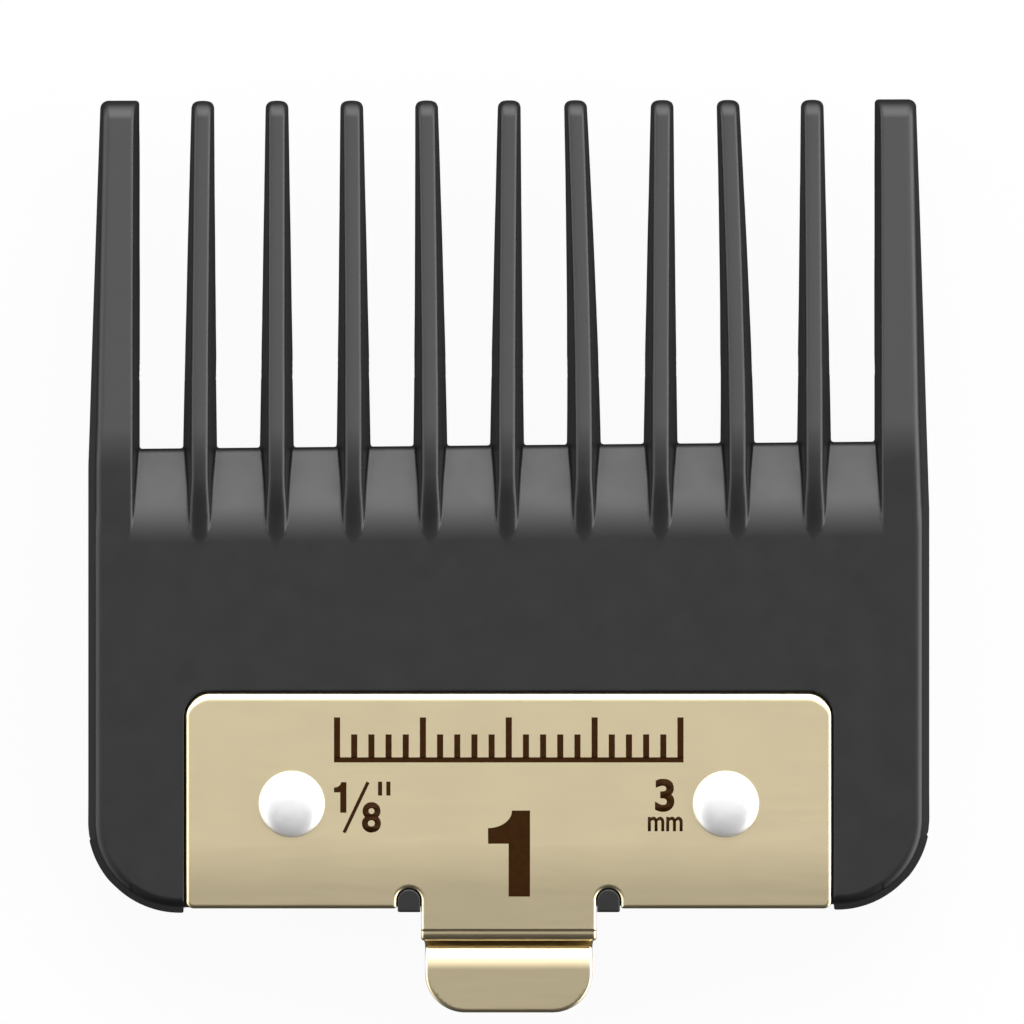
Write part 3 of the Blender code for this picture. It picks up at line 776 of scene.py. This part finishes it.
def clip_gold():
    """Champagne plating on rolled sheet steel: satin, with faint rolling lines."""
    n = Nodes("clip_champagne_plating")
    n.set(Metallic=1.0)
    deep, pale = (0.94, 0.80, 0.52), (0.97, 0.825, 0.535)
    n.link(n.colours(n.noise(0.25, 2), (0.3, deep), (0.7, pale)), "Base Color")
    n.link(n.spread(n.noise(1.2, 4, (0.25, 3, 1)), 0.29, 0.31), "Roughness")
    lines = n.bump(n.noise(4.0, 3, (0.15, 4, 1)), 0.0002, 0.15)
    n.link(n.bump(n.noise(12.0, 2), 0.0004, 0.25, lines), "Normal")
    return n.material


def etched_brown():
    """Laser-etched marks: dark brown oxide with a dry surface."""
    n = Nodes("etched_oxide_brown")
    n.set(Metallic=0.0, Specular_IOR_Level=0.05)
    deep, pale = (0.020, 0.0065, 0.0004), (0.027, 0.0092, 0.0008)
    n.link(n.colours(n.noise(3.0, 3), (0.3, deep), (0.7, pale)), "Base Color")
    n.link(n.spread(n.noise(6.0, 2), 0.5, 0.65), "Roughness")
    n.link(n.bump(n.noise(16.0, 2), 0.002, 0.4), "Normal")
    return n.material


def rivet_nickel():
    """Bright nickel plating with fine handling marks."""
    n = Nodes("rivet_nickel_plating")
    n.set(Metallic=0.58)
    deep, pale = (0.80, 0.80, 0.805), (0.83, 0.83, 0.835)
    n.link(n.colours(n.noise(0.8, 2), (0.3, deep), (0.7, pale)), "Base Color")
    n.link(n.spread(n.noise(2.5, 4), 0.30, 0.38), "Roughness")
    n.link(n.bump(n.noise(7.0, 3), 0.0015, 0.3), "Normal")
    return n.material


def floor_paper():
    """White paper that mostly glows by itself, so that the object's shadow on it stays faint."""
    n = Nodes("floor_white_paper")
    n.set(Metallic=0.0, Specular_IOR_Level=0.1, Roughness=0.9)
    low, high = (0.029, 0.029, 0.029), (0.031, 0.031, 0.031)
    n.link(n.colours(n.noise(0.02, 2), (0.3, low), (0.7, high)), "Base Color")
    n.shader.inputs["Emission Color"].default_value = (1, 1, 1, 1)
    n.shader.inputs["Emission Strength"].default_value = 0.943
    return n.material


# ---------------------------------------------------------------- stage

def build_floor(material):
    half_size, gap_below_comb = 1.5, 0.0001
    shape = bmesh.new()
    bmesh.ops.create_grid(shape, x_segments=1, y_segments=1, size=half_size)
    mesh = bpy.data.meshes.new("floor")
    shape.to_mesh(mesh)
    shape.free()
    mesh.transform(Matrix.Translation((0, 0, -gap_below_comb)))
    floor = add_piece("floor", mesh, material)
    # The floor shows, but it neither lights the comb from below nor is mirrored in it.
    floor.visible_diffuse = floor.visible_glossy = False


def area_light(name, place, target, size, radiance):
    """A soft box that gives the same brightness whatever its size."""
    light = bpy.data.lights.new(name, "AREA")
    light.shape = "RECTANGLE"
    light.size, light.size_y = size
    light.energy = radiance * math.pi * size[0] * size[1]
    lamp = bpy.data.objects.new(name, light)
    bpy.context.scene.collection.objects.link(lamp)
    lamp.location = place
    aim = Vector(target) - Vector(place)
    lamp.rotation_euler = aim.to_track_quat("-Z", "Y").to_euler()
    return lamp


def build_tent():
    """A studio tent as the world, bright where its panels are. Places are parts of a unit direction."""
    world = bpy.data.worlds.new("studio_tent")
    bpy.context.scene.world = world
    world.use_nodes = True
    tree = world.node_tree
    place = tree.nodes.new("ShaderNodeTexCoord")
    split = tree.nodes.new("ShaderNodeSeparateXYZ")
    tree.links.new(place.outputs["Generated"], split.inputs["Vector"])

    def panel(axis, start, end, dark, bright):
        node = tree.nodes.new("ShaderNodeMapRange")
        node.interpolation_type = "SMOOTHSTEP"
        for name, number in (("From Min", start), ("From Max", end), ("To Min", dark), ("To Max", bright)):
            node.inputs[name].default_value = number
        tree.links.new(split.outputs[axis], node.inputs["Value"])
        return node.outputs["Result"]

    def combine(operation, a, b):
        node = tree.nodes.new("ShaderNodeMath")
        node.operation = operation
        tree.links.new(a, node.inputs[0])
        tree.links.new(b, node.inputs[1])
        return node.outputs["Value"]

    # A bright panel beyond the tips, the pale top of the tent, then the right and the left side
    narrowed = combine("MULTIPLY", panel("X", -0.62, -0.28, 0.35, 1), panel("X", 0.36, 0.70, 1, 0.35))
    light = combine("MULTIPLY", narrowed, panel("Y", 0.0, 0.66, 0, 2.6))
    light = combine("ADD", light, panel("Y", -0.20, 0.04, 0.03, 0.56))
    light = combine("ADD", light, panel("X", 0.45, 0.95, 0, 4.2))
    light = combine("ADD", light, panel("X", -0.45, -0.95, 0, 2.0))
    # All of it fades out below the horizon, where only a dim table is left.
    light = combine("MULTIPLY", light, panel("Z", -0.20, 0.08, 0, 1))
    light = combine("ADD", light, panel("Z", -0.20, 0.08, 0.09, 0))
    tree.links.new(light, tree.nodes["Background"].inputs["Strength"])
    tree.nodes["Background"].inputs["Color"].default_value = (1, 1, 1, 1)


def build_lights():
    build_tent()
    comb = (0, 0, 0)
    area_light("key_softbox", place=(0.10, 0.80, 0.62), target=comb, size=(0.9, 0.7), radiance=1.9)
    area_light("fill_softbox", place=(-0.55, -0.10, 0.75), target=comb, size=(0.3, 0.3), radiance=0.5)


def build_camera():
    """Straight down on the skin side from far off, with the teeth at the top of the picture."""
    frame_width = 60.235 * MM  # seen across the picture at the height of the comb's face
    middle_x, middle_y = 0.19 * MM, 2.58 * MM  # what the middle of the picture shows
    camera = bpy.data.cameras.new("camera")
    camera.sensor_width = 36
    camera.lens = 1400
    distance = camera.lens / camera.sensor_width * frame_width
    camera.clip_start, camera.clip_end = 0.05, 10
    seen_from = bpy.data.objects.new("camera", camera)
    bpy.context.scene.collection.objects.link(seen_from)
    seen_from.location = (middle_x, middle_y, FACE_Z * MM + distance)
    bpy.context.scene.camera = seen_from


def main():
    bpy.context.scene.view_settings.view_transform = "Standard"
    build_comb(comb_plastic())
    build_clip(clip_gold())
    build_marks(etched_brown())
    nickel = rivet_nickel()
    build_rivet("rivet_head_left", -RIVET_X, nickel)
    build_rivet("rivet_head_right", RIVET_X, nickel)
    build_floor(floor_paper())
    build_lights()
    build_camera()


main()
